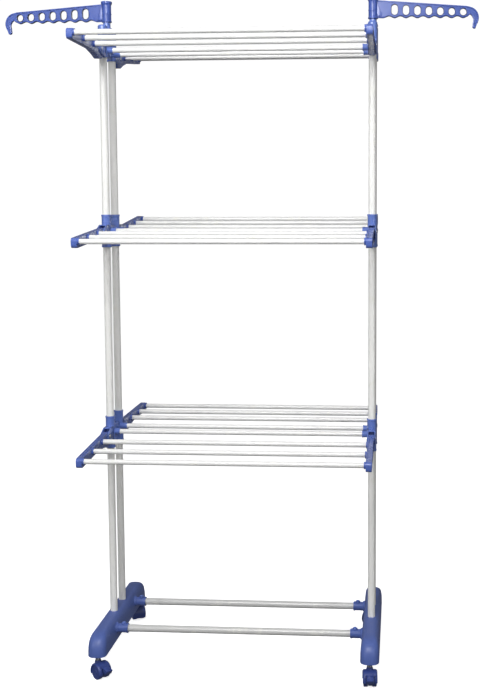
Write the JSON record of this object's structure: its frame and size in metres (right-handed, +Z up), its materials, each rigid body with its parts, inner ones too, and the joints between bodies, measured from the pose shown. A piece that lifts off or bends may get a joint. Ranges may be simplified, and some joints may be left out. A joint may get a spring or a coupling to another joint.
{
  "type": "clothes drying rack",
  "caption": "Tall clothes drying rack on castors: tiers of folding rod wings on paired steel posts, moulded feet and swivelling hanger arms.",
  "frame": {"origin": "on the floor, at the middle of the base", "axes": "+X to the right seen from the front, +Y to the rear, +Z up"},
  "size_m": [1.208, 0.6521, 1.694],
  "materials": {
    "blue_plastic": "satin moulded plastic",
    "hanger_plastic": "satin moulded plastic",
    "castor_plastic": "satin moulded plastic, darker",
    "white_tube": "white powder coat",
    "white_rod": "white powder coat, smooth",
    "steel": "zinc plated"
  },
  "bodies": {
    "root": {"foot_left": "blue_plastic", "foot_right": "blue_plastic", "cross_tube_front": "white_tube", "cross_tube_rear": "white_tube", "posts_lower_left": "white_tube", "posts_lower_right": "white_tube", "posts_middle_left": "white_tube", "posts_middle_right": "white_tube", "posts_upper_left": "white_tube", "posts_upper_right": "white_tube", "bracket_lower_left": "blue_plastic", "bracket_lower_right": "blue_plastic", "bracket_middle_left": "blue_plastic", "bracket_middle_right": "blue_plastic", "bracket_upper_left": "blue_plastic", "bracket_upper_right": "blue_plastic", "centre_rods_lower": "white_rod", "centre_rods_middle": "white_rod", "centre_rods_upper": "white_rod", "hinge_pins_lower": "steel", "hinge_pins_middle": "steel", "hinge_pins_upper": "steel"},
    "castor_fl": {"castor_stem_fl": "steel", "castor_hood_fl": "castor_plastic"},
    "wheels_fl": {"castor_wheels_fl": "castor_plastic"},
    "brake_fl": {"brake_lever_fl": "castor_plastic"},
    "castor_fr": {"castor_stem_fr": "steel", "castor_hood_fr": "castor_plastic"},
    "wheels_fr": {"castor_wheels_fr": "castor_plastic"},
    "brake_fr": {"brake_lever_fr": "castor_plastic"},
    "castor_rl": {"castor_stem_rl": "steel", "castor_hood_rl": "castor_plastic"},
    "wheels_rl": {"castor_wheels_rl": "castor_plastic"},
    "castor_rr": {"castor_stem_rr": "steel", "castor_hood_rr": "castor_plastic"},
    "wheels_rr": {"castor_wheels_rr": "castor_plastic"},
    "button_fl": {"lock_button_fl": "blue_plastic"},
    "button_fr": {"lock_button_fr": "blue_plastic"},
    "button_rl": {"lock_button_rl": "blue_plastic"},
    "button_rr": {"lock_button_rr": "blue_plastic"},
    "wing_lower_front": {"arm_lower_front_left": "blue_plastic", "arm_lower_front_right": "blue_plastic", "wing_rods_lower_front": "white_rod"},
    "wing_lower_rear": {"arm_lower_rear_left": "blue_plastic", "arm_lower_rear_right": "blue_plastic", "wing_rods_lower_rear": "white_rod"},
    "wing_middle_front": {"arm_middle_front_left": "blue_plastic", "arm_middle_front_right": "blue_plastic", "wing_rods_middle_front": "white_rod"},
    "wing_middle_rear": {"arm_middle_rear_left": "blue_plastic", "arm_middle_rear_right": "blue_plastic", "wing_rods_middle_rear": "white_rod"},
    "wing_upper_front": {"arm_upper_front_left": "blue_plastic", "arm_upper_front_right": "blue_plastic", "wing_rods_upper_front": "white_rod"},
    "wing_upper_rear": {"arm_upper_rear_left": "blue_plastic", "arm_upper_rear_right": "blue_plastic", "wing_rods_upper_rear": "white_rod"},
    "hanger_left": {"hanger_left": "hanger_plastic"},
    "hanger_right": {"hanger_right": "hanger_plastic"}
  },
  "joints": [
    {"name": "castor_swivel_fl", "type": "hinge", "parent": "root", "child": "castor_fl", "pos_m": [-0.34, -0.2, 0.05], "axis": [0, 0, 1], "continuous": true},
    {"name": "castor_wheel_fl", "type": "hinge", "parent": "castor_fl", "child": "wheels_fl", "pos_m": [-0.33094, -0.20787, 0.019], "axis": [0.6561, 0.7547, 0], "continuous": true},
    {"name": "brake_fl", "type": "hinge", "parent": "castor_fl", "child": "brake_fl", "pos_m": [-0.31585, -0.22099, 0.0335], "axis": [0.6561, 0.7547, 0], "range_deg": [0, 12]},
    {"name": "castor_swivel_fr", "type": "hinge", "parent": "root", "child": "castor_fr", "pos_m": [0.34, -0.2, 0.05], "axis": [0, 0, 1], "continuous": true},
    {"name": "castor_wheel_fr", "type": "hinge", "parent": "castor_fr", "child": "wheels_fr", "pos_m": [0.34084, -0.21197, 0.019], "axis": [0.9976, 0.0698, 0], "continuous": true},
    {"name": "brake_fr", "type": "hinge", "parent": "castor_fr", "child": "brake_fr", "pos_m": [0.34223, -0.23192, 0.0335], "axis": [0.9976, 0.0698, 0], "range_deg": [0, 12]},
    {"name": "castor_swivel_rl", "type": "hinge", "parent": "root", "child": "castor_rl", "pos_m": [-0.34, 0.2, 0.05], "axis": [0, 0, 1], "continuous": true},
    {"name": "castor_wheel_rl", "type": "hinge", "parent": "castor_rl", "child": "wheels_rl", "pos_m": [-0.33437, 0.1894, 0.019], "axis": [0.8829, 0.4695, 0], "continuous": true},
    {"name": "castor_swivel_rr", "type": "hinge", "parent": "root", "child": "castor_rr", "pos_m": [0.34, 0.2, 0.05], "axis": [0, 0, 1], "continuous": true},
    {"name": "castor_wheel_rr", "type": "hinge", "parent": "castor_rr", "child": "wheels_rr", "pos_m": [0.33312, 0.19017, 0.019], "axis": [0.8192, -0.5736, 0], "continuous": true},
    {"name": "button_press_fl", "type": "slide", "parent": "root", "child": "button_fl", "axis": [0, 0, -1], "range_m": [0, 0.003], "stiffness_N_per_m": 400, "springref_m": -0.002},
    {"name": "button_press_fr", "type": "slide", "parent": "root", "child": "button_fr", "axis": [0, 0, -1], "range_m": [0, 0.003], "stiffness_N_per_m": 400, "springref_m": -0.002},
    {"name": "button_press_rl", "type": "slide", "parent": "root", "child": "button_rl", "axis": [0, 0, -1], "range_m": [0, 0.003], "stiffness_N_per_m": 400, "springref_m": -0.002},
    {"name": "button_press_rr", "type": "slide", "parent": "root", "child": "button_rr", "axis": [0, 0, -1], "range_m": [0, 0.003], "stiffness_N_per_m": 400, "springref_m": -0.002},
    {"name": "fold_lower_front", "type": "hinge", "parent": "root", "child": "wing_lower_front", "pos_m": [0, -0.088, 0.589], "axis": [-1, 0, 0], "range_deg": [0, 84]},
    {"name": "fold_lower_rear", "type": "hinge", "parent": "root", "child": "wing_lower_rear", "pos_m": [0, 0.088, 0.589], "axis": [1, 0, 0], "range_deg": [0, 84]},
    {"name": "fold_middle_front", "type": "hinge", "parent": "root", "child": "wing_middle_front", "pos_m": [0, -0.088, 1.11], "axis": [-1, 0, 0], "range_deg": [0, 84]},
    {"name": "fold_middle_rear", "type": "hinge", "parent": "root", "child": "wing_middle_rear", "pos_m": [0, 0.088, 1.11], "axis": [1, 0, 0], "range_deg": [0, 84]},
    {"name": "fold_upper_front", "type": "hinge", "parent": "root", "child": "wing_upper_front", "pos_m": [0, -0.088, 1.565], "axis": [-1, 0, 0], "range_deg": [0, 84]},
    {"name": "fold_upper_rear", "type": "hinge", "parent": "root", "child": "wing_upper_rear", "pos_m": [0, 0.088, 1.565], "axis": [1, 0, 0], "range_deg": [0, 84]},
    {"name": "swing_hanger_left", "type": "hinge", "parent": "root", "child": "hanger_left", "pos_m": [-0.34, 0, 1.642], "axis": [0, 0, -1], "range_deg": [-75, 180]},
    {"name": "swing_hanger_right", "type": "hinge", "parent": "root", "child": "hanger_right", "pos_m": [0.34, 0, 1.642], "axis": [0, 0, 1], "range_deg": [-75, 180]}
  ]
}
